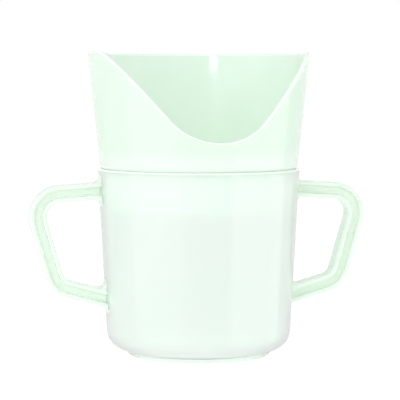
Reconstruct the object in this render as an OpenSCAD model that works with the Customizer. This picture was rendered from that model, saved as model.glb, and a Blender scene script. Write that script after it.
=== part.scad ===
// Nosey cup: a two-handled mug in translucent plastic, and a flared collar that stands in its rim.
// The collar is cut away at the front, where the nose goes, and is drunk from at the back.
// Millimetres. The origin is on the cup's axis, in the plane that the foot stands on.
// +Z is up, the handles lie along X, and the nose cut-out faces -Y.

/* [Mug] */
// Outer diameter of the mug's rim
mug_rim_d = 82; // [76:0.5:90]
// Height of the mug, from the table to its rim
mug_h = 75.5; // [70:0.5:90]
// Wall of the mug
mug_wall = 2.2; // [1.8:0.1:2.6]
// Draft of the mug's side, in degrees
mug_draft = 3; // [1:0.25:4]
// Thickness of the mug's floor
floor_t = 2.4; // [1.8:0.1:3.4]
// Radius of the rounded corner between the side and the base
base_corner_r = 7.6; // [5:0.1:10]
// Radius on the outer edge of the rim
rim_outer_r = 0.5; // [0.2:0.1:0.8]
// Radius on the inner edge of the rim
rim_inner_r = 0.2; // [0.1:0.05:0.4]

/* [Foot ring] */
// Step from the end of the rounded corner in to the foot ring
foot_inset = 0.5; // [0:0.1:4]
// Width of the foot ring
foot_w = 3.4; // [2.4:0.1:6]
// Height of the foot ring
foot_h = 2.2; // [1.4:0.1:3]
// Radius on the outer edge of the foot ring
foot_edge_r = 1.1; // [0.4:0.1:1.3]
// Radius on the inner edge of the foot ring
foot_inner_r = 0.5; // [0.2:0.1:1]

/* [Handles] */
// Width of a handle's band, seen from the front
band_w = 6.8; // [6:0.1:8]
// Thickness of a handle, from front to back
band_t = 8; // [6:0.1:11]
// Width of the rails along both edges of the band
rail_w = 1.8; // [1.2:0.1:2.4]
// Thickness of the web between the rails
web_t = 2; // [1.4:0.1:3]
// Distance from the rim out to the upper corner, along the middle of the band
upper_out = 27.7; // [24:0.1:34]
// Depth of the upper corner below the rim
upper_drop = 10.5; // [10:0.1:16]
// Radius of the upper corner, along the middle of the band
upper_r = 9.3; // [7:0.1:12]
// Fall of the upper arm from the cup to its corner, in degrees
upper_fall = 3.6; // [0:0.2:6]
// Distance from the rim out to the lower corner
lower_out = 17.1; // [15:0.1:24]
// Height of the lower corner above the table
lower_z = 28.7; // [26:0.1:34]
// Radius of the lower corner
lower_r = 8.1; // [6:0.1:10]
// Rise of the lower arm from the cup to its corner, in degrees
lower_rise = 15.6; // [8:0.2:18]
// Radius of the fillets where a handle joins the cup
root_r = 3; // [1:0.1:4]

/* [Nosey collar] */
// Height of the collar above the mug's rim
collar_h = 46.5; // [42:0.5:60]
// Step from the mug's rim in to the foot of the collar's side
collar_inset = 0.9; // [0.6:0.05:1]
// Flare of the collar's side, in degrees
collar_flare = 5.7; // [4:0.1:8]
// Wall of the collar
collar_wall = 1.8; // [1.5:0.1:2.2]
// Width of the seat that bears on the flat of the rim
seat_w = 0.6; // [0.4:0.05:0.8]
// Height above the rim at which the collar's side meets its shoulder
shoulder_h = 1.4; // [1.2:0.1:2]
// Radius of the curl between side and shoulder
shoulder_r = 5.5; // [2:0.1:6]
// Height above the rim at which the collar's inner face meets the shoulder's
shoulder_inner_h = 2.8; // [2.2:0.1:4]
// Radius of the bends inside the collar, above and below the shoulder
shoulder_inner_r = 1.8; // [1:0.1:2.4]
// Radius on the edges of the collar's top
top_edge_r = 0.5; // [0.2:0.05:0.7]

/* [Skirt] */
// Depth of the skirt that reaches down into the mug
skirt_h = 16; // [10:0.5:24]
// Wall of the skirt
skirt_wall = 1.6; // [1.3:0.1:1.9]
// Clearance between the skirt and the mug's inner face
skirt_gap = 0.3; // [0.25:0.05:0.6]
// Radius on the edges of the skirt's lower end
skirt_edge_r = 0.4; // [0.2:0.05:0.6]

/* [Nose cut-out] */
// Height of the lowest point of the cut-out above the mug's rim
cut_low = 11.5; // [8:0.5:20]
// Radius of the cut-out's round bottom, seen from the front
cut_r = 24.5; // [16:0.5:26]
// Angle of the cut-out's straight flanks above level, in degrees
cut_angle = 50; // [48:1:60]

/* [Hidden] */
$fn = 96;
// Steps in each rounded corner of an outline
arc_steps = 8;
// How far a cutter runs on past what it cuts
overrun = 5;
mint = [0.90, 0.965, 0.90];
mint_deep = [0.86, 0.945, 0.86];

rim_r = mug_rim_d / 2;

// Outer and inner face of the mug's side at a height
function mug_r(z) = rim_r - (mug_h - z) * tan(mug_draft);
function mug_bore(z) = mug_r(z) - mug_wall / cos(mug_draft);

// Outer and inner face of the skirt: the mug's inner face less the clearance
function skirt_r(z) = mug_bore(z) - skirt_gap;
function skirt_bore(z) = skirt_r(z) - skirt_wall / cos(mug_draft);

// Outer and inner face of the collar's side
function collar_r(z) = rim_r - collar_inset + (z - mug_h) * tan(collar_flare);
function collar_bore(z) = collar_r(z) - collar_wall / cos(collar_flare);

collar_top = mug_h + collar_h;
skirt_low = mug_h - skirt_h;
floor_top = foot_h + floor_t;

// The foot ring starts where the rounded corner runs out on the base
foot_r = mug_r(foot_h) - base_corner_r / tan(45 + mug_draft / 2) - foot_inset;

// The seat bears on the rim's flat, from the end of the rim's inner radius outwards
seat_r = mug_bore(mug_h) + rim_inner_r + seat_w;

// An outline's corner [x, y, r], rounded with radius r, between neighbours a and c
function unit(v) = v / norm(v);
function turned(p) = atan2(p.y, p.x);
function corner(a, b, c, r) =
    let (u = unit(a - b), v = unit(c - b), half = acos(u * v) / 2)
    let (middle = b + unit(u + v) * r / sin(half))
    let (first = turned(b + u * r / tan(half) - middle), last = turned(b + v * r / tan(half) - middle))
    let (sweep = last - first - 360 * round((last - first) / 360))
    [for (i = [0 : arc_steps]) middle + r * [for (f = [0, 90]) cos(first + sweep * i / arc_steps - f)]];

// An outline whose points each hold the radius of their own corner, 0 for a sharp one
function rounded(outline) =
    let (n = len(outline), points = [for (p = outline) [p.x, p.y]])
    [for (i = [0 : n - 1]) each outline[i].z > 0
        ? corner(points[(i + n - 1) % n], points[i], points[(i + 1) % n], outline[i].z)
        : [points[i]]];

// A handle's band, in its own plane: x is the distance from the cup's axis and y the height
upper_corner = [rim_r + upper_out, mug_h - upper_drop];
lower_corner = [rim_r + lower_out, lower_z];
arm_back = rim_r;
upper_root = upper_corner + arm_back * [-cos(upper_fall), sin(upper_fall)];
lower_root = lower_corner - arm_back * [cos(lower_rise), sin(lower_rise)];

// The band's edge at a distance outwards from its middle line: where two shifted lines cross
function normal(a, b) = let (d = unit(b - a)) [-d.y, d.x];
function crossing(p, d, q, e) = p + d * ((q - p).x * e.y - (q - p).y * e.x) / (d.x * e.y - d.y * e.x);
function edge_corner(a, b, c, out) =
    crossing(a + out * normal(a, b), b - a, c + out * normal(b, c), c - b);
function upper_edge(out) = edge_corner(upper_root, upper_corner, lower_corner, out);
function lower_edge(out) = edge_corner(upper_corner, lower_corner, lower_root, out);

// A line just under the skin of the mug's side, which a handle's outline and gap run along.
// It lies deeper than the side curves away across the handle's thickness, so that no sliver is left.
skin_spare = 0.05;
skin_depth = band_t * band_t / 8 / mug_r(0) + skin_spare;
skin_low = [mug_r(0) - skin_depth, 0];
skin_high = [rim_r - skin_depth, mug_h];
function at_skin(point, along) = crossing(point, along, skin_low, skin_high - skin_low);
function upper_at_skin(out) =
    at_skin(upper_root + out * normal(upper_root, upper_corner), upper_corner - upper_root);
function lower_at_skin(out) =
    at_skin(lower_root + out * normal(lower_corner, lower_root), lower_root - lower_corner);

// An outline of three sides of the band, closed along the skin of the mug
function sized(p, r) = [p.x, p.y, r];
function band_edge(out, root) = [
    sized(upper_at_skin(out), root),
    sized(upper_edge(out), upper_r + out),
    sized(lower_edge(out), lower_r + out),
    sized(lower_at_skin(out), root),
];

// The whole handle seen from the front, with fillets that run out into the mug's side
module handle_outline() {
    half = band_w / 2;
    // Far enough along the skin that a fillet at a slanting arm ends before it
    fillet_reach = unit(skin_high - skin_low) * root_r * 2.5;
    above = upper_at_skin(half) + fillet_reach;
    below = lower_at_skin(half) - fillet_reach;
    inwards = [-skin_depth, 0];
    difference() {
        polygon(rounded(concat(
            [sized(above, 0)],
            band_edge(half, root_r),
            [sized(below, 0), sized(below + inwards, 0), sized(above + inwards, 0)]
        )));
        polygon(rounded(band_edge(-half, root_r)));
    }
}

// The recess between the rails, which runs on into the mug's side
module web_outline() {
    half = band_w / 2 - rail_w;
    difference() {
        polygon(rounded(band_edge(half, 0)));
        polygon(rounded(band_edge(-half, 0)));
    }
}

// The mug's outer cone, run on past both ends, which shapes a handle's roots
module mug_cone() {
    low = -overrun;
    high = mug_h + overrun;
    rotate_extrude()
        polygon([[0, low], [mug_r(low), low], [mug_r(high), high], [0, high]]);
}

module handle() {
    recess = (band_t - web_t) / 2;
    difference() {
        rotate([90, 0, 0])
            linear_extrude(band_t, center = true)
                handle_outline();
        for (side = [-1, 1])
            translate([0, side * (web_t / 2 + recess / 2 + overrun / 2), 0])
                rotate([90, 0, 0])
                    linear_extrude(recess + overrun, center = true)
                        web_outline();
        mug_cone();
    }
}

module mug_body() {
    color(mint)
        rotate_extrude()
            polygon(rounded([
                [0, foot_h, 0],
                [foot_r - foot_w, foot_h, 0],
                [foot_r - foot_w, 0, foot_inner_r],
                [foot_r, 0, foot_edge_r],
                [foot_r, foot_h, 0],
                [mug_r(foot_h), foot_h, base_corner_r],
                [rim_r, mug_h, rim_outer_r],
                [mug_bore(mug_h), mug_h, rim_inner_r],
                [mug_bore(floor_top), floor_top, base_corner_r - mug_wall],
                [0, floor_top, 0],
            ]));
}

module left_handle() {
    color(mint_deep)
        mirror([1, 0, 0])
            handle();
}

module right_handle() {
    color(mint_deep)
        handle();
}

// The cut-out as seen from the front, at the collar's inner face: a round bottom and two straight
// flanks. Each step is [azimuth from the front, height], from the middle up one side.
cut_bottom = mug_h + cut_low;
flank_x = cut_r * sin(cut_angle);
flank_z = cut_bottom + cut_r * (1 - cos(cut_angle));
cut_top = collar_top + top_edge_r;
flank_top_x = flank_x + (cut_top - flank_z) / tan(cut_angle);
// The flanks never reach round to the handles, where the sine would pass one
widest = sin(80);
function cut_step(x, z) = [asin(min(x / collar_bore(z), widest)), z];
bottom_steps = 10;
// The steps up a flank get shorter as it turns away round the collar
flank_steps = 14;
half_cut = concat(
    [for (i = [0 : bottom_steps - 1])
        let (a = cut_angle * i / bottom_steps) cut_step(cut_r * sin(a), cut_bottom + cut_r * (1 - cos(a)))],
    [for (i = [0 : flank_steps])
        let (f = sin(90 * i / flank_steps))
        cut_step(flank_x + (flank_top_x - flank_x) * f, flank_z + (cut_top - flank_z) * f)]
);
last_step = len(half_cut) - 1;
whole_cut = [for (i = [-last_step : last_step]) [sign(i) * half_cut[abs(i)].x, half_cut[abs(i)].y]];

// Takes away all above the cut-out's edge: a shell a little thicker than the collar's wall, which
// follows it from the edge upwards. The edge runs straight out from the axis, so that the lip stands
// square to the wall and is as wide as the wall all the way round.
cutter_reach = 1;
module nose_cutter() {
    top = collar_top + overrun;
    n = len(whole_cut);
    function inside(azimuth, z) = (collar_bore(z) - cutter_reach) * [sin(azimuth), -cos(azimuth), 0];
    function outside(azimuth, z) = (collar_r(z) + cutter_reach) * [sin(azimuth), -cos(azimuth), 0];
    points = [
        for (s = whole_cut) inside(s.x, s.y) + [0, 0, s.y],
        for (s = whole_cut) outside(s.x, s.y) + [0, 0, s.y],
        for (s = whole_cut) inside(s.x, top) + [0, 0, top],
        for (s = whole_cut) outside(s.x, top) + [0, 0, top],
    ];
    // Where each of the four runs of points starts
    low_in = 0;
    low_out = n;
    top_in = 2 * n;
    top_out = 3 * n;
    strips = [[low_out, low_in], [top_out, low_out], [top_in, top_out], [low_in, top_in]];
    // Each strip's quads are split along one diagonal up to the middle and along the other after it,
    // so that the two halves mirror each other
    sides = [for (s = strips, i = [0 : n - 2])
        let (a = s[0] + i, b = s[0] + i + 1, c = s[1] + i + 1, d = s[1] + i)
        each i < last_step ? [[a, b, d], [b, c, d]] : [[a, b, c], [a, c, d]]];
    left_end = [top_in, top_out, low_out, low_in];
    right_end = [for (p = [low_in, low_out, top_out, top_in]) p + n - 1];
    polyhedron(points = points, faces = concat(sides, [left_end, right_end]));
}

module nosey_insert() {
    color(mint_deep)
        difference() {
            rotate_extrude()
                polygon(rounded([
                    [skirt_bore(skirt_low), skirt_low, skirt_edge_r],
                    [skirt_r(skirt_low), skirt_low, skirt_edge_r],
                    [skirt_r(mug_h), mug_h, 0],
                    [seat_r, mug_h, 0],
                    [collar_r(mug_h + shoulder_h), mug_h + shoulder_h, shoulder_r],
                    [collar_r(collar_top), collar_top, top_edge_r],
                    [collar_bore(collar_top), collar_top, top_edge_r],
                    [collar_bore(mug_h + shoulder_inner_h), mug_h + shoulder_inner_h, shoulder_inner_r],
                    [skirt_bore(mug_h), mug_h, shoulder_inner_r],
                ]));
            nose_cutter();
        }
}

mug_body();
left_handle();
right_handle();
nosey_insert();
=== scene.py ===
"""Nosey cup: a two-handled mug in translucent plastic, and a flared collar that lifts out of its rim.

The mug and the collar are turned outlines, the handles a band swept round a bent path, and the nose
cut-out is worked into the turned collar by the same rule as in the solid model.
"""
import math
from collections import namedtuple

import bmesh
import bpy
from bpy.props import FloatProperty, FloatVectorProperty, IntProperty, PointerProperty
from bpy.types import NodeSocket, Operator, Panel, PropertyGroup
from mathutils import Matrix, Vector


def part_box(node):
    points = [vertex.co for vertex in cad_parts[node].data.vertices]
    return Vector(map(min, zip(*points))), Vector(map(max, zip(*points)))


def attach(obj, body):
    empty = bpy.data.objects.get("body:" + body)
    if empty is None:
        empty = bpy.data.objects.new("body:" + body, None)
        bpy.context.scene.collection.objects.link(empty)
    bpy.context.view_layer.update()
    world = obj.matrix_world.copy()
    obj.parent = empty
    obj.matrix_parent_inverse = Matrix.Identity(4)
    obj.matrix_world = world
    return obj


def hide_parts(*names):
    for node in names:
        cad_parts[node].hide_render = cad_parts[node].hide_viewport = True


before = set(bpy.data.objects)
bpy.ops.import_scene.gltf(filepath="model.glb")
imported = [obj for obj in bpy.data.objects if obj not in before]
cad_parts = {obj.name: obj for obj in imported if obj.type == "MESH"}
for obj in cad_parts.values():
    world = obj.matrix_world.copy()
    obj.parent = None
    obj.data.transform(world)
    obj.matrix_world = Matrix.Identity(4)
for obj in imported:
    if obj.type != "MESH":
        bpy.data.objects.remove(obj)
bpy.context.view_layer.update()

bl_info = {
    "name": "Nosey cup",
    "version": (1, 0, 0),
    "blender": (4, 5, 0),
    "location": "3D View > Sidebar > Nosey cup",
    "description": "Builds a two-handled nosey cup with its lift-out collar and a plain studio",
    "category": "Add Mesh",
}

MUG_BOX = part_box("mug_body")
COLLAR_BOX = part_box("nosey_insert")
MM = 0.001
# Closer than this, two points count as one
TINY = 0.001 * MM


def linear(hex_colour):
    """A colour written as sRGB hex, as the linear numbers that Blender's sockets take."""
    parts = [int(hex_colour[i:i + 2], 16) / 255 for i in (1, 3, 5)]
    return tuple(c / 12.92 if c <= 0.04045 else ((c + 0.055) / 1.055) ** 2.4 for c in parts)


def length(name, description, millimetres):
    return FloatProperty(name=name, description=description, default=millimetres * MM, min=0.0,
                         subtype="DISTANCE", unit="LENGTH", precision=4)


def angle(name, description, degrees):
    return FloatProperty(name=name, description=description, default=math.radians(degrees),
                         subtype="ANGLE", unit="ROTATION")


def colour(name, description, hex_colour):
    return FloatVectorProperty(name=name, description=description, default=linear(hex_colour),
                               size=3, min=0.0, max=1.0, subtype="COLOR")


def share(name, description, part):
    return FloatProperty(name=name, description=description, default=part, min=0.0, max=1.0,
                         subtype="FACTOR")


class MugSizes(PropertyGroup):
    """The mug's body: a tapered wall on a rounded base with a low foot ring"""
    rim_diameter: length("Rim diameter", "Outer diameter of the rim", 82)
    height: length("Height", "From the table to the rim", MUG_BOX[1].z / MM)
    wall: length("Wall", "Thickness of the side", 2.2)
    draft: angle("Draft", "Slant of the side", 3)
    floor: length("Floor", "Thickness of the floor", 2.4)
    base_radius: length("Base corner", "Radius between the side and the base", 7.6)
    rim_outer_radius: length("Outer rim edge", "Radius on the outer edge of the rim", 0.5)
    rim_inner_radius: length("Inner rim edge", "Radius on the inner edge of the rim", 0.2)
    foot_inset: length("Foot inset", "Step from the rounded corner in to the foot ring", 0.5)
    foot_width: length("Foot width", "Width of the foot ring", 3.4)
    foot_height: length("Foot height", "Height of the foot ring", 2.2)
    foot_edge_radius: length("Outer foot edge", "Radius on the outer edge of the foot ring", 1.1)
    foot_inner_radius: length("Inner foot edge", "Radius on the inner edge of the foot ring", 0.5)
    # Painted highlight: the top of the rim is painted pale
    painted_pale_rim: length("Pale rim", "How far down from its top the rim shows pale", 0.6)
    outline_step: length("Outline step", "Longest step along the outline", 3)
    segments: IntProperty(name="Segments", description="Steps round the axis", default=288, min=24)


class HandleSizes(PropertyGroup):
    """The handles: a bent band with a rail along both edges and a recessed web between them"""
    band_width: length("Band width", "Width of the band, seen from the front", 6.8)
    band_thickness: length("Band thickness", "From front to back", 8)
    rail_width: length("Rail width", "Width of the rails along the band's edges", 1.8)
    rail_slant: length("Rail slant", "How much narrower a rail is at its top", 0.12)
    web: length("Web", "Thickness of the web between the rails", 2)
    upper_out: length("Upper corner out", "From the rim out to the upper corner", 27.66)
    upper_drop: length("Upper corner drop", "Depth of the upper corner below the rim", 10.5)
    upper_radius: length("Upper corner radius", "Along the middle of the band", 9.3)
    upper_fall: angle("Upper arm fall", "Slant of the upper arm down to its corner", 3.6)
    lower_out: length("Lower corner out", "From the rim out to the lower corner", 17.1)
    lower_height: length("Lower corner height", "Height of the lower corner", 28.7)
    lower_radius: length("Lower corner radius", "Along the middle of the band", 8.1)
    lower_rise: angle("Lower arm rise", "Slant of the lower arm up to its corner", 15.6)
    root_radius: length("Root fillet", "Radius of the fillets on the mug's side", 3)
    root_depth: length("Root depth", "How far the band reaches into the mug's wall", 0.8)
    outer_edge_radius: length("Outer edges", "Radius on the outer edges of the rails", 0.8)
    inner_edge_radius: length("Inner edges", "Radius on the inner edges of the rails", 0.35)
    web_fillet: length("Web fillet", "Radius between a rail and the web", 0.6)
    outline_step: length("Outline step", "Longest step round the band's section", 0.8)
    corner_steps: IntProperty(name="Corner steps", description="Steps round a bend", default=14, min=3)


class CollarSizes(PropertyGroup):
    """The nosey collar, its seat on the rim, its skirt and its cut-out"""
    top: length("Top", "Height of the collar's top above the table", COLLAR_BOX[1].z / MM)
    inset: length("Inset", "Step from the mug's rim in to the collar's side", 0.92)
    flare: angle("Flare", "Slant of the collar's side", 5.7)
    wall: length("Wall", "Thickness of the collar", 1.8)
    seat_width: length("Seat", "Width of the seat on the flat of the rim", 0.6)
    seat_gap: length("Seat gap", "Air under the seat, so that two faces don't coincide", 0.03)
    shoulder_height: length("Shoulder", "Where the side meets the shoulder, above the rim", 1.4)
    shoulder_radius: length("Shoulder curl", "Radius between side and shoulder", 5.5)
    shoulder_inner_height: length("Inner shoulder", "Where the inner face meets the shoulder", 2.8)
    shoulder_inner_radius: length("Inner bends", "Radius of the bends inside the collar", 1.8)
    seat_edge_radius: length("Seat edge", "Radius on the outer edge of the seat", 0.15)
    lip_radius: length("Lip edges", "Radius on both edges of the lip", 0.55)
    skirt_depth: length("Skirt depth", "How far the skirt reaches down into the mug", 16)
    skirt_wall: length("Skirt wall", "Thickness of the skirt", 1.6)
    skirt_gap: length("Skirt gap", "Clearance between the skirt and the mug", 0.3)
    skirt_edge_radius: length("Skirt edge", "Radius on the edges of the skirt's end", 0.4)
    cut_low: length("Cut-out bottom", "Lowest point of the cut-out above the rim", 11.5)
    cut_radius: length("Cut-out radius", "Round bottom, seen from the front", 24.5)
    cut_angle: angle("Cut-out flanks", "Slant of the straight flanks", 50)
    tip_blend: length("Tip blend", "Height over which a flank runs into the top", 0.9)
    straight_from: length("Straight from", "Height above the rim where both faces run straight", 4.5)
    outline_step: length("Outline step", "Longest step along the outline", 2.5)
    segments: IntProperty(name="Segments", description="Steps round the axis", default=360, min=24)


class PlasticLook(PropertyGroup):
    """The translucent plastic"""
    mug_mint: colour("Mug mint", "The mug's plastic", "#F4FDF6")
    collar_mint: colour("Collar mint", "The collar's plastic, a little deeper", "#E9F6EB")
    # Painted light: the skirt is painted paler, in place of the light that its wall, doubled by the mug's,
    # sends back
    skirt_painted_light: colour("Skirt mint", "The collar's plastic down at its skirt", "#F7FDF8")
    skirt_painted_light_to: length("Skirt mint up to", "Height below the rim where it starts to turn deeper", 2.5)
    collar_mint_from: length("Collar mint from", "Height above the rim where it has the collar's tint", 8)
    handle_mint: colour("Handle mint", "The handles' rails", "#E9F3EA")
    # Painted light: the web is painted paler than the rails, which lifts the shade in its recess
    web_painted_light: colour("Web mint", "The web between the rails", "#ECF6EC")
    # Painted light: the tint of the edges that are painted pale where light gathers
    edge_painted_light: colour("Edge mint", "The lips and other free edges of mug and collar", "#E7F3E9")
    clouds: FloatProperty(name="Clouds", description="How much deeper the plastic is in its clouds",
                          default=1.25, min=1.0)
    cloud_size: length("Cloud size", "Width of the clouds", 20)
    roughness: share("Roughness", "Gloss of the moulded skin", 0.06)
    best_polish: share("Best polish", "Roughness where the mould is polished best, as a share", 0.8)
    worst_polish: FloatProperty(name="Worst polish", description="The same where it is polished least",
                                default=1.25, min=1.0)
    polish_size: length("Polish size", "Width of the patches of polish", 8)
    peel_size: length("Peel size", "Width of the orange peel's bumps", 1.5)
    peel_depth: length("Peel depth", "Depth of the orange peel", 0.02)
    peel_strength: share("Peel strength", "How much of that depth bends the light", 0.06)
    ior: FloatProperty(name="IOR", description="Refractive index of the plastic", default=1.49)
    mug_clear: share("Clear mug", "Share of light that passes the mug's wall unscattered", 0.5)
    handle_clear: share("Clear handles", "The same in the handles, whose rails are much thicker", 0.1)
    collar_clear: share("Clear collar", "The same in the collar", 0.3)
    mug_haze: share("Mug haze", "How far the mug's wall spreads the light that passes", 0.12)
    collar_haze: share("Collar haze", "The same in the collar", 0.45)
    scatter: length("Scatter", "Mean path of the light inside the walls", 1.8)
    handle_scatter: length("Handle scatter", "The same in the handles, which are cloudier", 1.08)


class StudioLook(PropertyGroup):
    """The photograph's camera, a pale floor and soft lamps"""
    camera_turn: angle("Camera turn", "How far the camera stands round from the front", -12.292)
    camera_distance: length("Camera distance", "From the cup's axis", 650)
    camera_height: length("Camera height", "Above the table", 110.614)
    camera_pitch: angle("Camera pitch", "How far the camera looks down", 4.247)
    camera_yaw: angle("Camera yaw", "How far the camera looks past the axis", 0.044)
    camera_roll: angle("Camera roll", "How far the camera is tipped", 0.089)
    focal_pixels: FloatProperty(name="Focal length", description="In pixels of the picture",
                                default=1603.21)
    picture_pixels: IntProperty(name="Picture", description="Side of the picture in pixels", default=400)
    floor: colour("Floor", "Pale studio floor", "#F7F7F7")
    floor_size: length("Floor size", "Side of the square floor", 6000)
    floor_drop: length("Floor drop", "How far the floor lies below the cup's foot", 0.02)
    floor_shading: share("Floor shading", "How much of its own shading the floor shows", 0.5)
    floor_lift: FloatProperty(name="Floor lift", description="White that is added to what the floor shows",
                              default=0.75, min=0.0)
    front_light: FloatProperty(name="Front light", description="Even light from the camera's side",
                               default=0.91, min=0.0)
    rear_light: FloatProperty(name="Rear light", description="Even light from behind the cup",
                              default=0.35, min=0.0)
    full_from: angle("Full light from", "Angle from straight behind where the even light is full", 84)
    backdrop: FloatProperty(name="Backdrop", description="Its brightness, seen through the plastic",
                            default=0.9, min=0.0)
    table: FloatProperty(name="Table", description="Its brightness, seen through the plastic",
                         default=0.56, min=0.0)
    floor_glow: FloatProperty(name="Floor glow", description="Light that comes up through the floor",
                              default=0.3, min=0.0)
    aim_height: length("Aim height", "Height above the table that the lamps face", 60)


class NoseyCup(PropertyGroup):
    """All settings of the nosey cup"""
    mug: PointerProperty(name="Mug", description="Sizes of the mug", type=MugSizes)
    handle: PointerProperty(name="Handles", description="Sizes of the handles", type=HandleSizes)
    collar: PointerProperty(name="Collar", description="Sizes of the collar", type=CollarSizes)
    plastic: PointerProperty(name="Plastic", description="Look of the plastic", type=PlasticLook)
    studio: PointerProperty(name="Studio", description="Camera, floor and lamps", type=StudioLook)


# The softboxes stand beside the camera and reach below the table, as their reflections do, and the
# strip lamp makes the short highlight at the top of the collar's back. Azimuths count from the camera
# to the right, in degrees, and lengths are in metres.
Lamp = namedtuple("Lamp", "name azimuth elevation distance width height radiance")
LAMPS = (
    Lamp("left softbox", azimuth=-50, elevation=5, distance=1.1, width=1.4, height=1.5, radiance=0.6),
    Lamp("right softbox", azimuth=76, elevation=-14, distance=1.1, width=1.6, height=0.87, radiance=1.0),
    Lamp("strip lamp", azimuth=-17, elevation=20.1, distance=1.0, width=0.17, height=0.165, radiance=8.0),
)


# Outlines

def rounded(corners, steps=7):
    """The points of a closed outline of (x, y, radius) corners, with an arc where there is a radius."""
    points = []
    for i, (x, y, radius) in enumerate(corners):
        here = Vector((x, y))
        if radius <= 0:
            points.append(here)
            continue
        before = (Vector(corners[i - 1][:2]) - here).normalized()
        after = (Vector(corners[(i + 1) % len(corners)][:2]) - here).normalized()
        half = before.angle(after) / 2
        middle = here + (before + after).normalized() * radius / math.sin(half)
        first = here + before * radius / math.tan(half) - middle
        last = here + after * radius / math.tan(half) - middle
        sweep = math.atan2(first.x * last.y - first.y * last.x, first.dot(last))
        for step in range(steps + 1):
            points.append(middle + Matrix.Rotation(sweep * step / steps, 2) @ first)
    return points


def divided(points, longest, hold=0.2 * MM):
    """The same line with its long stretches divided, and a point close to each of their ends.

    The close points keep smooth shading flat on a stretch that ends in a tight round."""
    line = [points[0]]
    for start, end in zip(points, points[1:]):
        span = (end - start).length
        if span > longest:
            steps = round(span / longest)
            inner = [hold + (span - 2 * hold) * i / steps for i in range(steps + 1)]
            line.extend(start.lerp(end, at / span) for at in inner)
        line.append(end)
    return line


def divided_loop(points, longest):
    """A closed line with its long stretches divided."""
    return divided(points + points[:1], longest, hold=0.12 * MM)[:-1]


# Nodes

def add(tree, kind, inputs=None, **settings):
    """Adds a node with its settings, and fills or links its inputs."""
    node = tree.nodes.new(kind)
    for name, value in settings.items():
        setattr(node, name, value)
    for name, value in (inputs or {}).items():
        if isinstance(value, NodeSocket):
            tree.links.new(value, node.inputs[name])
        else:
            node.inputs[name].default_value = value
    return node


def new_tree(name, sizes):
    """A Geometry Nodes tree with a geometry input, the named sizes and a material, and their sockets."""
    tree = bpy.data.node_groups.new(name, "GeometryNodeTree")
    tree.interface.new_socket("Geometry", in_out="INPUT", socket_type="NodeSocketGeometry")
    for size, kind in sizes.items():
        tree.interface.new_socket(size, in_out="INPUT", socket_type=kind)
    tree.interface.new_socket("Material", in_out="INPUT", socket_type="NodeSocketMaterial")
    tree.interface.new_socket("Geometry", in_out="OUTPUT", socket_type="NodeSocketGeometry")
    return tree, add(tree, "NodeGroupInput").outputs


def end_tree(tree, geometry, material):
    """Ends a tree with real geometry, smooth faces and its material."""
    smooth = add(tree, "GeometryNodeSetShadeSmooth", {"Geometry": geometry})
    real = add(tree, "GeometryNodeRealizeInstances", {"Geometry": smooth.outputs[0]})
    made = add(tree, "GeometryNodeSetMaterial", {"Geometry": real.outputs[0], "Material": material})
    add(tree, "NodeGroupOutput", {"Geometry": made.outputs[0]})


def turned_tree():
    """Turns an outline, given in the XZ plane, round the Z axis, from the front anticlockwise."""
    tree, given = new_tree("Turned on the axis", {"Segments": "NodeSocketInt"})

    def maths(operation, first, second=0.0):
        return add(tree, "ShaderNodeMath", {0: first, 1: second}, operation=operation).outputs[0]

    rows = add(tree, "GeometryNodeAttributeDomainSize", {"Geometry": given["Geometry"]}, component="MESH")
    rows = rows.outputs["Point Count"]
    grid = add(tree, "GeometryNodeMeshGrid", {
        "Vertices X": maths("ADD", given["Segments"], 1.0), "Vertices Y": rows})
    # A grid numbers its points column by column. The half keeps the division off whole numbers
    index = add(tree, "GeometryNodeInputIndex").outputs[0]
    column = maths("FLOOR", maths("DIVIDE", maths("ADD", index, 0.5), rows))
    row = maths("SUBTRACT", index, maths("MULTIPLY", column, rows))
    position = add(tree, "GeometryNodeInputPosition").outputs[0]
    outline = add(tree, "GeometryNodeSampleIndex", {
        "Geometry": given["Geometry"], "Value": position, "Index": row}, data_type="FLOAT_VECTOR")
    place = add(tree, "ShaderNodeSeparateXYZ", {0: outline.outputs["Value"]}).outputs
    turn = maths("MULTIPLY", maths("DIVIDE", column, given["Segments"]), math.tau)
    sideways = maths("MULTIPLY", place["X"], maths("SINE", turn))
    forwards = maths("MULTIPLY", place["X"], maths("MULTIPLY", maths("COSINE", turn), -1.0))
    placed = add(tree, "ShaderNodeCombineXYZ", {"X": sideways, "Y": forwards, "Z": place["Z"]})
    wall = add(tree, "GeometryNodeSetPosition", {
        "Geometry": grid.outputs["Mesh"], "Position": placed.outputs[0]})
    closed = add(tree, "GeometryNodeMergeByDistance", {"Geometry": wall.outputs[0], "Distance": TINY})
    end_tree(tree, closed.outputs[0], given["Material"])
    return tree


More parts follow.
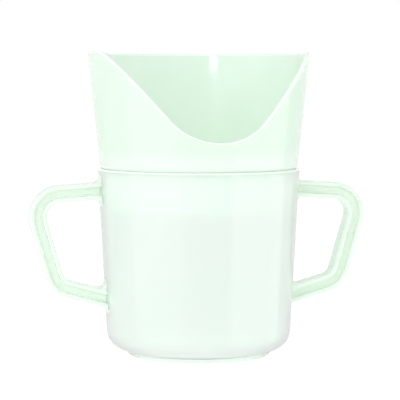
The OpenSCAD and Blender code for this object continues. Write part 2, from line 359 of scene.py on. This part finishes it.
def band_tree():
    """Sweeps the object Section along a path whose two corners it rounds."""
    tree, given = new_tree("Band swept round its bends", {
        "Section": "NodeSocketObject", "Upper radius": "NodeSocketFloat", "Lower radius": "NodeSocketFloat",
        "Corner steps": "NodeSocketInt"})
    path = add(tree, "GeometryNodeMeshToCurve", {"Mesh": given["Geometry"]})
    upper = add(tree, "GeometryNodeInputNamedAttribute", {"Name": "upper_corner"}, data_type="FLOAT")
    lower = add(tree, "GeometryNodeInputNamedAttribute", {"Name": "lower_corner"}, data_type="FLOAT")
    at_upper = add(tree, "ShaderNodeMath", {0: upper.outputs[0], 1: given["Upper radius"]},
                   operation="MULTIPLY")
    radius = add(tree, "ShaderNodeMath", {
        0: lower.outputs[0], 1: given["Lower radius"], 2: at_upper.outputs[0]}, operation="MULTIPLY_ADD")
    bent = add(tree, "GeometryNodeFilletCurve", {
        "Curve": path.outputs[0], "Count": given["Corner steps"], "Radius": radius.outputs[0]}, mode="POLY")
    section = add(tree, "GeometryNodeObjectInfo", {"Object": given["Section"]})
    outline = add(tree, "GeometryNodeMeshToCurve", {"Mesh": section.outputs["Geometry"]})
    band = add(tree, "GeometryNodeCurveToMesh", {
        "Curve": bent.outputs[0], "Profile Curve": outline.outputs[0], "Fill Caps": True})
    end_tree(tree, band.outputs[0], given["Material"])
    return tree


def line_object(name, points, closed, marks=None):
    """A mesh object of one line of edges, with marks stored as numbers on its points."""
    mesh = bpy.data.meshes.new(name)
    edges = [(i, i + 1) for i in range(len(points) - 1)]
    if closed:
        edges.append((len(points) - 1, 0))
    mesh.from_pydata(points, edges, [])
    for mark, values in (marks or {}).items():
        mesh.attributes.new(mark, "FLOAT", "POINT").data.foreach_set("value", values)
    line = bpy.data.objects.new(name, mesh)
    bpy.context.scene.collection.objects.link(line)
    return line


def grown(line, tree, inputs, name):
    """The plain mesh that a tree makes of a line. The line object goes."""
    modifier = line.modifiers.new(tree.name, "NODES")
    modifier.node_group = tree
    sockets = {s.name: s.identifier for s in tree.interface.items_tree
               if s.item_type == "SOCKET" and s.in_out == "INPUT"}
    for given, value in inputs.items():
        modifier[sockets[given]] = value
    line.update_tag()
    bpy.context.view_layer.update()
    mesh = bpy.data.meshes.new_from_object(line.evaluated_get(bpy.context.evaluated_depsgraph_get()))
    line.modifiers.remove(modifier)
    bpy.data.objects.remove(line)
    # A mesh that starts from a grid has an empty first slot
    mesh.polygons.foreach_set("material_index", [0] * len(mesh.polygons))
    mesh.materials.clear()
    mesh.materials.append(inputs["Material"])
    mesh.name = name
    return mesh


def outwards(mesh):
    """Turns all faces of a closed mesh outwards."""
    work = bmesh.new()
    work.from_mesh(mesh)
    bmesh.ops.recalc_face_normals(work, faces=work.faces)
    work.to_mesh(mesh)
    work.free()


def finished(name, mesh, body, slot, *nodes):
    """The piece made of a mesh: it rides on its body and stands for its nodes; its slot is not used."""
    piece = bpy.data.objects.new(name, mesh)
    bpy.context.scene.collection.objects.link(piece)
    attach(piece, body)
    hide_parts(*nodes)
    return piece


# Shapes that more than one piece needs

def mug_radius(mug, height):
    """Radius of the mug's outer face at a height."""
    return mug.rim_diameter / 2 - (mug.height - height) * math.tan(mug.draft)


def mug_bore(mug, height):
    """Radius of the mug's inner face at a height."""
    return mug_radius(mug, height) - mug.wall / math.cos(mug.draft)


# The plastic

def translucent_polypropylene(name, look, mint, painted_light_tint, clear, haze, scatter, painted_pale_low_down=None):
    """Polypropylene, injection moulded: a milky mint body that light soaks into, under a soft gloss.

    The eye sees pale edges where light gathers, a deeper green on a single thin wall, and the skirt's lower
    end through the mug's wall. The pale edges and the handles' web are painted light: the marked points get
    a tint of their own and no clear share. Two arguments give that tint and the painted paler colour low
    down, with the two heights between which it turns to mint."""
    name = f"Polypropylene, moulded, {name}"
    material = bpy.data.materials.get(name)
    if material:
        return material
    material = bpy.data.materials.new(name)
    material.use_nodes = True
    tree = material.node_tree
    tree.nodes.clear()
    place = add(tree, "ShaderNodeTexCoord").outputs["Object"]

    # The melt's flow leaves faint clouds, so that a wall isn't one flat tone
    clouds = add(tree, "ShaderNodeTexNoise", {
        "Vector": place, "Scale": 1 / look.cloud_size, "Detail": 3.0, "Roughness": 0.55})
    deep = [c ** look.clouds for c in mint]
    tint = add(tree, "ShaderNodeMix", {
        "Factor": clouds.outputs["Fac"], 6: (*mint, 1.0), 7: (*deep, 1.0)}, data_type="RGBA")
    if painted_pale_low_down:
        # Painted light: the collar is painted paler down its shoulder to its skirt, where its walls are
        # doubled by the mug's and send more light back
        painted_low_mint, low, high = painted_pale_low_down
        height = add(tree, "ShaderNodeSeparateXYZ", {0: place}).outputs["Z"]
        rise = add(tree, "ShaderNodeMapRange", {"Value": height, "From Min": low, "From Max": high})
        tint = add(tree, "ShaderNodeMix", {
            "Factor": rise.outputs[0], 6: (*painted_low_mint, 1.0), 7: tint.outputs[2]}, data_type="RGBA")
    # Painted light: the marked points, pale edges and the handles' web, get a tint of their own
    marked = add(tree, "ShaderNodeAttribute", attribute_name="marked").outputs["Fac"]
    tint = add(tree, "ShaderNodeMix", {
        "Factor": marked, 6: tint.outputs[2], 7: (*painted_light_tint, 1.0)}, data_type="RGBA")

    # The mould's polish varies in patches, which softens the lamps' edges here and there
    patches = add(tree, "ShaderNodeTexNoise", {
        "Vector": place, "Scale": 1 / look.polish_size, "Detail": 2.0})
    gloss = add(tree, "ShaderNodeMapRange", {
        "Value": patches.outputs["Fac"], "To Min": look.roughness * look.best_polish,
        "To Max": look.roughness * look.worst_polish})

    # Shrinkage leaves a faint orange peel, drawn coarser than the real one so that it shows
    peel = add(tree, "ShaderNodeTexNoise", {"Vector": place, "Scale": 1 / look.peel_size, "Detail": 1.0})
    bump = add(tree, "ShaderNodeBump", {
        "Height": peel.outputs["Fac"], "Strength": look.peel_strength, "Distance": look.peel_depth})

    # Light goes straight in through the clear share of an outer face, but not at the marked points, which
    # send all of it back and so look pale: painted light. What came in all goes out at the other face,
    # spread a little by the milky plastic: what touches the wall from behind shows, what is far off blurs
    inside = add(tree, "ShaderNodeNewGeometry").outputs["Backfacing"]
    entering = add(tree, "ShaderNodeMapRange", {"Value": marked, "To Min": clear, "To Max": 0.0})
    passing = add(tree, "ShaderNodeMapRange", {
        "Value": inside, "To Min": entering.outputs[0], "To Max": 1.0})
    spread = add(tree, "ShaderNodeMapRange", {"Value": inside, "To Min": gloss.outputs[0], "To Max": haze})

    plastic = add(tree, "ShaderNodeBsdfPrincipled", {
        "Base Color": tint.outputs[2], "Roughness": spread.outputs[0], "Normal": bump.outputs[0],
        "IOR": look.ior, "Transmission Weight": passing.outputs[0], "Subsurface Weight": 1.0,
        "Subsurface Radius": (1.0, 1.0, 1.0), "Subsurface Scale": scatter})
    add(tree, "ShaderNodeOutputMaterial", {"Surface": plastic.outputs[0]})
    return material


def mug_plastic(look):
    """The mug's plastic, with its free edges painted pale, as painted light."""
    return translucent_polypropylene(
        "mug", look, mint=look.mug_mint, painted_light_tint=look.edge_painted_light, clear=look.mug_clear,
        haze=look.mug_haze, scatter=look.scatter)


def handle_plastic(look):
    """The handles' plastic, with a paler tint painted into the web, which lifts the shade of its recess
    between the rails.
    """
    return translucent_polypropylene(
        "handles", look, mint=look.handle_mint, painted_light_tint=look.web_painted_light, clear=look.handle_clear,
        haze=look.mug_haze, scatter=look.handle_scatter)


def collar_plastic(look, rim):
    """The collar's plastic, with its free edges and its skirt painted pale, as painted light."""
    return translucent_polypropylene(
        "collar", look, mint=look.collar_mint, painted_light_tint=look.edge_painted_light, clear=look.collar_clear,
        haze=look.collar_haze, scatter=look.scatter,
        painted_pale_low_down=(look.skirt_painted_light, rim - look.skirt_painted_light_to, rim + look.collar_mint_from))


def mark_points(mesh, marks):
    """Marks points, with a 1 each, that get a tint of their own and send all light back: painted light at
    pale edges and in the handles' web.
    """
    mesh.attributes.new("marked", "FLOAT", "POINT").data.foreach_set("value", marks)


def mark_heights(mesh, *ranges):
    """Marks the points in some ranges of height."""
    mark_points(mesh, [float(any(low - TINY <= v.co.z <= high + TINY for low, high in ranges))
                       for v in mesh.vertices])


class NOSEYCUP_OT_mug_body(Operator):
    """Turn the mug's body: side, rim, rounded base, floor and foot ring"""
    bl_idname = "nosey_cup.mug_body"
    bl_label = "Mug body"

    def execute(self, context):
        cup = context.scene.nosey_cup
        mug = cup.mug
        floor_top = mug.foot_height + mug.floor
        corner_reach = mug.base_radius / math.tan(math.pi / 4 + mug.draft / 2)
        foot_radius = mug_radius(mug, mug.foot_height) - corner_reach - mug.foot_inset
        foot_inside = foot_radius - mug.foot_width
        outline = rounded([
            (0, mug.foot_height, 0),
            (foot_inside, mug.foot_height, 0),
            (foot_inside, 0, mug.foot_inner_radius),
            (foot_radius, 0, mug.foot_edge_radius),
            (foot_radius, mug.foot_height, 0),
            (mug_radius(mug, mug.foot_height), mug.foot_height, mug.base_radius),
            (mug.rim_diameter / 2, mug.height, mug.rim_outer_radius),
            (mug_bore(mug, mug.height), mug.height, mug.rim_inner_radius),
            (mug_bore(mug, floor_top), floor_top, mug.base_radius - mug.wall),
            (0, floor_top, 0),
        ])
        around = divided(outline, mug.outline_step)
        line = line_object("mug outline", [(p.x, 0, p.y) for p in around], False)
        mesh = grown(line, turned_tree(), {
            "Segments": mug.segments, "Material": mug_plastic(cup.plastic)}, "mug_body")
        # Painted highlight: the top of the rim is marked to show pale
        mark_heights(mesh, (mug.height - mug.painted_pale_rim, mug.height))
        finished("mug_shell", mesh, "mug", "mug_plastic", "mug_body")
        return {"FINISHED"}


def band_section(sizes):
    """The handle's band in section: x across the band and y through its thickness."""
    side = sizes.band_width / 2
    face = sizes.band_thickness / 2
    rail = side - sizes.rail_width
    web = sizes.web / 2
    outer = sizes.outer_edge_radius
    inner = sizes.inner_edge_radius
    quarter = [
        (side, face, outer),
        (rail + sizes.rail_slant, face, inner),
        (rail, web, sizes.web_fillet),
    ]
    other = [(-x, y, r) for x, y, r in reversed(quarter)]
    half = quarter + other
    return divided_loop(rounded(half + [(-x, -y, r) for x, y, r in half], steps=5), sizes.outline_step)


def root_rings(radius, depth, steps=8):
    """Distances from the mug's side at which a root's rings lie, from inside the wall outwards.

    The last one lies past the fillet, and ends it."""
    arc = [radius * (1 - math.cos(math.pi / 2 * i / steps)) for i in range(steps + 1)]
    return [-depth] + arc + [radius * 1.5]


def fillet(distance, corner, radius):
    """How far a fillet stands off an arm's edge, measured along the mug's side.

    distance is that from the mug's side, and corner the angle between it and the arm's edge."""
    reach = radius / math.tan(corner / 2)
    if distance >= reach * math.sin(corner):
        return 0.0
    off = radius - max(distance, 0.0)
    return reach - math.sqrt(max(radius ** 2 - off ** 2, 0.0)) - max(distance, 0.0) / math.tan(corner)


def seat_root(points, sizes, mug, along, rings):
    """Moves an arm's rings so that they follow the mug's side, and spreads their edges in fillets.

    points are the rings' points, from the wall outwards, each a list of (point, across), and along is
    the arm's direction away from the mug."""
    slope = math.tan(mug.draft)
    up = Vector((math.sin(mug.draft), 0, math.cos(mug.draft)))
    off_wall = Vector((math.cos(mug.draft), 0, -math.sin(mug.draft)))
    corner = {1: along.angle(up), -1: along.angle(-up)}
    rail = sizes.band_width / 2 - sizes.rail_width
    for distance, ring in zip(rings, points):
        for point, across in ring:
            # Along the arm to the mug's side, by steps that close in on it
            for _ in range(6):
                bare = math.hypot(point.x, point.y) - mug_radius(mug, point.z)
                point -= along * (bare / (along.x - slope * along.z))
            point += along * (distance / along.dot(off_wall))
            side = 1 if across > 0 else -1
            part = (abs(across) - rail) / sizes.rail_width
            if part > 0:
                point += up * side * part * fillet(distance, corner[side], sizes.root_radius)


class NOSEYCUP_OT_handles(Operator):
    """Sweep the right handle's band, seat its roots on the mug's side, and mirror it for the left"""
    bl_idname = "nosey_cup.handles"
    bl_label = "Handles"

    def execute(self, context):
        cup = context.scene.nosey_cup
        sizes = cup.handle
        arms = (Vector((math.cos(sizes.upper_fall), 0, -math.sin(sizes.upper_fall))),
                Vector((math.cos(sizes.lower_rise), 0, math.sin(sizes.lower_rise))))
        rings = root_rings(sizes.root_radius, sizes.root_depth)
        section = band_section(sizes)
        mesh = self.bare_band(cup, section, arms, len(rings))
        self.seat(mesh, cup, len(section), arms, rings)
        rail = sizes.band_width / 2 - sizes.rail_width
        # Painted light: the web's points are marked for their paler tint, against the shade of their recess
        in_web = [float(abs(p.x) < rail and abs(p.y) < sizes.web) for p in section]
        mark_points(mesh, in_web * (len(mesh.vertices) // len(section)))
        for name, node, side in (
            ("right_handle_band", "right_handle", 1),
            ("left_handle_band", "left_handle", -1),
        ):
            copy = mesh.copy()
            if side < 0:
                copy.transform(Matrix.Scale(-1, 4, Vector((1, 0, 0))))
            outwards(copy)
            finished(name, copy, "mug", "mug_plastic", node)
        bpy.data.meshes.remove(mesh)
        return {"FINISHED"}

    def bare_band(self, cup, section, arms, ring_count):
        """The band swept round its bends, with ring_count rings for the root spread along each arm."""
        sizes, mug = cup.handle, cup.mug
        rim = mug.rim_diameter / 2
        upper = Vector((rim + sizes.upper_out, 0, mug.height - sizes.upper_drop))
        lower = Vector((rim + sizes.lower_out, 0, sizes.lower_height))
        # Distances from the corner, all beyond its bend. The rings are seated on the mug afterwards
        spread = [rim * 0.75 - i * MM / 2 for i in range(ring_count)]
        path = [upper - arms[0] * s for s in spread] + [upper, lower]
        path += [lower - arms[1] * s for s in reversed(spread)]
        marks = {"upper_corner": [0.0] * len(path), "lower_corner": [0.0] * len(path)}
        marks["upper_corner"][ring_count] = 1.0
        marks["lower_corner"][ring_count + 1] = 1.0
        # A path in the XZ plane turns a section's x axis to Y, so the section lies on its side
        profile = line_object("band section", [(p.y, p.x, 0) for p in section], True)
        line = line_object("band path", path, False, marks)
        mesh = grown(line, band_tree(), {
            "Section": profile, "Upper radius": sizes.upper_radius, "Lower radius": sizes.lower_radius,
            "Corner steps": sizes.corner_steps, "Material": handle_plastic(cup.plastic)}, "handle")
        bpy.data.objects.remove(profile)
        return mesh

    def seat(self, mesh, cup, count, arms, rings):
        """Seats the first and the last rings, of count points each, on the mug's side."""
        points = [v.co.copy() for v in mesh.vertices]
        total = len(points) // count
        for along, order in zip(arms, (range(len(rings)), range(total - 1, total - 1 - len(rings), -1))):
            above = Vector((-along.z, 0, along.x))
            root = []
            for number in order:
                ring = points[number * count:(number + 1) * count]
                middle = sum(ring, Vector()) / count
                root.append([(point, (point - middle).dot(above)) for point in ring])
            seat_root(root, cup.handle, cup.mug, along, rings)
        for vertex, point in zip(mesh.vertices, points):
            vertex.co = point


def collar_radius(collar, mug, height):
    """Radius of the collar's outer face at a height."""
    return mug.rim_diameter / 2 - collar.inset + (height - mug.height) * math.tan(collar.flare)


def collar_bore(collar, mug, height):
    """Radius of the collar's inner face at a height."""
    return collar_radius(collar, mug, height) - collar.wall / math.cos(collar.flare)


def edge_height(collar, mug, turn):
    """Height of the collar's edge at an angle from the front: the cut-out, or the top behind it."""
    if abs(turn) >= math.pi / 2:
        return collar.top
    bottom = mug.height + collar.cut_low
    flank_x = collar.cut_radius * math.sin(collar.cut_angle)
    flank_z = bottom + collar.cut_radius * (1 - math.cos(collar.cut_angle))
    height = bottom
    # The cut-out is drawn from the front, so how wide it is depends on the flare at its own height
    for _ in range(24):
        x = collar_bore(collar, mug, height) * math.sin(abs(turn))
        if x < flank_x:
            height = bottom + collar.cut_radius - math.sqrt(collar.cut_radius ** 2 - x ** 2)
        else:
            height = flank_z + (x - flank_x) * math.tan(collar.cut_angle)
    blend = max(collar.tip_blend - abs(height - collar.top), 0.0)
    return min(height, collar.top) - blend ** 2 / (4 * collar.tip_blend)


def cut_for_nose(mesh, collar, mug):
    """Brings the turned collar's edge down to the cut-out's, with its rounding square to the edge."""
    straight = mug.height + collar.straight_from
    lip = collar.top - collar.lip_radius
    slant = math.tan(collar.flare)
    step = math.radians(0.05)
    for vertex in mesh.vertices:
        x, y, z = vertex.co
        if z <= straight:
            continue
        turn = math.atan2(x, -y)
        radius = math.hypot(x, y)
        edge = edge_height(collar, mug, turn)
        rise = edge_height(collar, mug, turn + step) - edge_height(collar, mug, turn - step)
        climb = rise / (2 * step * collar_radius(collar, mug, edge))
        stretch = math.sqrt(1 + climb ** 2)
        if z > lip:
            height = edge - (collar.top - z) * stretch
        else:
            part = (z - straight) / (lip - straight)
            height = straight + (edge - collar.lip_radius * stretch - straight) * part
        radius += (height - z) * slant
        vertex.co = (radius * math.sin(turn), -radius * math.cos(turn), height)


class NOSEYCUP_OT_collar(Operator):
    """Turn the collar with its shoulder and skirt, and work the nose cut-out into it"""
    bl_idname = "nosey_cup.collar"
    bl_label = "Nosey collar"

    def execute(self, context):
        cup = context.scene.nosey_cup
        mug, collar = cup.mug, cup.collar
        seat = mug.height + collar.seat_gap
        shoulder = mug.height + collar.shoulder_height
        inner_shoulder = mug.height + collar.shoulder_inner_height
        low = mug.height - collar.skirt_depth

        def skirt_radius(height):
            return mug_bore(mug, height) - collar.skirt_gap

        def skirt_bore(height):
            return skirt_radius(height) - collar.skirt_wall / math.cos(mug.draft)

        seat_radius = mug_bore(mug, mug.height) + mug.rim_inner_radius + collar.seat_width
        outline = rounded([
            (skirt_bore(low), low, collar.skirt_edge_radius),
            (skirt_radius(low), low, collar.skirt_edge_radius),
            (skirt_radius(seat), seat, 0),
            (seat_radius, seat, collar.seat_edge_radius),
            (collar_radius(collar, mug, shoulder), shoulder, collar.shoulder_radius),
            (collar_radius(collar, mug, collar.top), collar.top, collar.lip_radius),
            (collar_bore(collar, mug, collar.top), collar.top, collar.lip_radius),
            (collar_bore(collar, mug, inner_shoulder), inner_shoulder, collar.shoulder_inner_radius),
            (skirt_bore(mug.height), mug.height, collar.shoulder_inner_radius),
        ])
        around = divided(outline + outline[:1], collar.outline_step)
        line = line_object("collar outline", [(p.x, 0, p.y) for p in around], False)
        mesh = grown(line, turned_tree(), {
            "Segments": collar.segments, "Material": collar_plastic(cup.plastic, mug.height)}, "collar")
        # Painted light: the skirt's end, the seat up to the shoulder and the lip are marked to show pale
        mark_heights(mesh, (low, low + collar.skirt_edge_radius), (seat, shoulder),
                     (collar.top - collar.lip_radius, collar.top))
        cut_for_nose(mesh, collar, mug)
        finished("nosey_collar", mesh, "insert", "insert_plastic", "nosey_insert")
        return {"FINISHED"}


def seen(tree):
    """1 for a ray from the camera or a mirrored one, and 1 for a ray that came through clear plastic.

    Both are 0 once a ray has been spread, so that light inside the cup comes as it does outside."""
    path = add(tree, "ShaderNodeLightPath").outputs
    shown = add(tree, "ShaderNodeMath", {0: path["Is Camera Ray"], 1: path["Is Glossy Ray"]},
                operation="MAXIMUM")
    straight = add(tree, "ShaderNodeMath", {0: path["Diffuse Depth"], 1: 0.5}, operation="LESS_THAN")
    return [add(tree, "ShaderNodeMath", {0: ray, 1: straight.outputs[0]}, operation="MULTIPLY").outputs[0]
            for ray in (shown.outputs[0], path["Is Transmission Ray"])]


class NOSEYCUP_OT_studio(Operator):
    """Set up the camera, the pale floor, the white surround and the lamps"""
    bl_idname = "nosey_cup.studio"
    bl_label = "Studio"

    def execute(self, context):
        studio = context.scene.nosey_cup.studio
        scene = context.scene
        scene.view_settings.view_transform = "Standard"
        # Light goes to and fro between translucent walls more often than between solid ones
        scene.cycles.max_bounces = 32
        scene.cycles.diffuse_bounces = 16
        scene.cycles.transmission_bounces = 24
        # The filter on gloss would roughen the clear share inside a wall, where light is then lost
        scene.cycles.blur_glossy = 0.0
        turn = -studio.camera_turn
        back = Vector((-math.sin(turn), -math.cos(turn), 0))
        sideways = Vector((math.cos(turn), -math.sin(turn), 0))
        self.place_camera(studio, turn)
        self.lay_floor(studio)
        self.light_world(studio, back)
        for lamp in LAMPS:
            self.hang_lamp(lamp, back, sideways, studio.aim_height)
        return {"FINISHED"}

    def place_camera(self, studio, turn):
        """The photograph's camera, found from the edges of the cup in the picture."""
        data = bpy.data.cameras.new("Camera")
        data.sensor_width = 36.0
        data.lens = data.sensor_width * studio.focal_pixels / studio.picture_pixels
        camera = bpy.data.objects.new("Camera", data)
        bpy.context.scene.collection.objects.link(camera)
        bpy.context.scene.camera = camera
        heading = turn + studio.camera_yaw
        pitch, roll = studio.camera_pitch, studio.camera_roll
        ahead = Vector((math.sin(heading) * math.cos(pitch), math.cos(heading) * math.cos(pitch),
                        -math.sin(pitch)))
        right = Vector((math.cos(heading), -math.sin(heading), 0))
        up = right.cross(ahead)
        right, up = (right * math.cos(roll) + up * math.sin(roll),
                     up * math.cos(roll) - right * math.sin(roll))
        turned = Matrix((right, up, -ahead)).transposed().to_4x4()
        place = Vector((-math.sin(turn) * studio.camera_distance, -math.cos(turn) * studio.camera_distance,
                        studio.camera_height))
        camera.matrix_world = Matrix.Translation(place) @ turned

    def lay_floor(self, studio):
        """A pale floor, white to the camera with the cup's soft shadow, and dimmer through the plastic."""
        half = studio.floor_size / 2
        corners = [(x, y, -studio.floor_drop)
                   for x, y in ((-half, -half), (half, -half), (half, half), (-half, half))]
        mesh = bpy.data.meshes.new("studio_floor")
        mesh.from_pydata(corners, [], [(0, 1, 2, 3)])
        floor = bpy.data.objects.new("studio_floor", mesh)
        bpy.context.scene.collection.objects.link(floor)
        material = bpy.data.materials.new("Studio floor, matt white")
        material.use_nodes = True
        tree = material.node_tree
        tree.nodes.clear()
        matt = add(tree, "ShaderNodeBsdfDiffuse", {"Color": (*studio.floor, 1.0)})
        glow = add(tree, "ShaderNodeEmission", {"Color": (1, 1, 1, 1), "Strength": studio.floor_lift})
        faded = add(tree, "ShaderNodeMixShader", {0: studio.floor_shading, 2: matt.outputs[0]})
        lifted = add(tree, "ShaderNodeAddShader", {0: faded.outputs[0], 1: glow.outputs[0]})
        faint = add(tree, "ShaderNodeEmission", {"Color": (1, 1, 1, 1), "Strength": studio.floor_glow})
        table = add(tree, "ShaderNodeAddShader", {0: matt.outputs[0], 1: faint.outputs[0]})
        shown, through = seen(tree)
        white = add(tree, "ShaderNodeMixShader", {0: shown, 1: table.outputs[0], 2: lifted.outputs[0]})
        dim = add(tree, "ShaderNodeEmission", {"Color": (1, 1, 1, 1), "Strength": studio.table})
        real = add(tree, "ShaderNodeMixShader", {0: through, 1: white.outputs[0], 2: dim.outputs[0]})
        add(tree, "ShaderNodeOutputMaterial", {"Surface": real.outputs[0]})
        mesh.materials.append(material)
        # The cup's gloss looks through the floor, to the softboxes and the white surround
        floor.visible_glossy = False

    def light_world(self, studio, back):
        """White to the camera and to gloss, a dimmer backdrop through the plastic, and otherwise an even,
        soft light that is stronger from the camera's side."""
        world = bpy.data.worlds.new("Studio white")
        bpy.context.scene.world = world
        world.use_nodes = True
        tree = world.node_tree
        tree.nodes.clear()
        direction = add(tree, "ShaderNodeTexCoord").outputs["Generated"]
        facing = add(tree, "ShaderNodeVectorMath", {0: direction, 1: back}, operation="DOT_PRODUCT")
        even = add(tree, "ShaderNodeMapRange", {
            "Value": facing.outputs["Value"], "From Min": -1.0, "From Max": -math.cos(studio.full_from),
            "To Min": studio.rear_light, "To Max": studio.front_light})
        shown, through = seen(tree)
        white = add(tree, "ShaderNodeMapRange", {"Value": shown, "To Min": even.outputs[0], "To Max": 1.0})
        real = add(tree, "ShaderNodeMapRange", {
            "Value": through, "To Min": white.outputs[0], "To Max": studio.backdrop})
        light = add(tree, "ShaderNodeBackground", {"Color": (1, 1, 1, 1), "Strength": real.outputs[0]})
        add(tree, "ShaderNodeOutputWorld", {"Surface": light.outputs[0]})

    def hang_lamp(self, lamp, back, sideways, aim_height):
        """A lamp of even radiance that faces the cup's axis at a height."""
        around, above = math.radians(lamp.azimuth), math.radians(lamp.elevation)
        out = (back * math.cos(around) + sideways * math.sin(around)) * math.cos(above)
        out += Vector((0, 0, math.sin(above)))
        data = bpy.data.lights.new(lamp.name, "AREA")
        data.shape = "RECTANGLE"
        data.size, data.size_y = lamp.width, lamp.height
        data.energy = lamp.radiance * math.pi * lamp.width * lamp.height
        hung = bpy.data.objects.new(lamp.name, data)
        bpy.context.scene.collection.objects.link(hung)
        hung.matrix_world = Matrix.Translation(out * lamp.distance + Vector((0, 0, aim_height))) @ (
            out.to_track_quat("Z", "Y").to_matrix().to_4x4())


class NOSEYCUP_PT_build(Panel):
    """Sizes, colours and building steps of the nosey cup"""
    bl_label = "Nosey cup"
    bl_idname = "NOSEYCUP_PT_build"
    bl_space_type = "VIEW_3D"
    bl_region_type = "UI"
    bl_category = "Nosey cup"

    def draw(self, context):
        cup = context.scene.nosey_cup
        for label, group, operator in (
            ("Mug", cup.mug, NOSEYCUP_OT_mug_body),
            ("Handles", cup.handle, NOSEYCUP_OT_handles),
            ("Collar", cup.collar, NOSEYCUP_OT_collar),
            ("Plastic", cup.plastic, None),
            ("Studio", cup.studio, NOSEYCUP_OT_studio),
        ):
            box = self.layout.box()
            box.label(text=label)
            for name in group.__annotations__:
                box.prop(group, name)
            if operator:
                box.operator(operator.bl_idname)


CLASSES = (
    MugSizes, HandleSizes, CollarSizes, PlasticLook, StudioLook, NoseyCup, NOSEYCUP_OT_mug_body,
    NOSEYCUP_OT_handles, NOSEYCUP_OT_collar, NOSEYCUP_OT_studio, NOSEYCUP_PT_build,
)


def register():
    for each in CLASSES:
        bpy.utils.register_class(each)
    bpy.types.Scene.nosey_cup = PointerProperty(name="Nosey cup", description="Settings of the nosey cup",
                                                type=NoseyCup)


def unregister():
    del bpy.types.Scene.nosey_cup
    for each in reversed(CLASSES):
        bpy.utils.unregister_class(each)


def main():
    register()
    bpy.ops.nosey_cup.mug_body()
    bpy.ops.nosey_cup.handles()
    bpy.ops.nosey_cup.collar()
    bpy.ops.nosey_cup.studio()


if __name__ == "__main__":
    main()
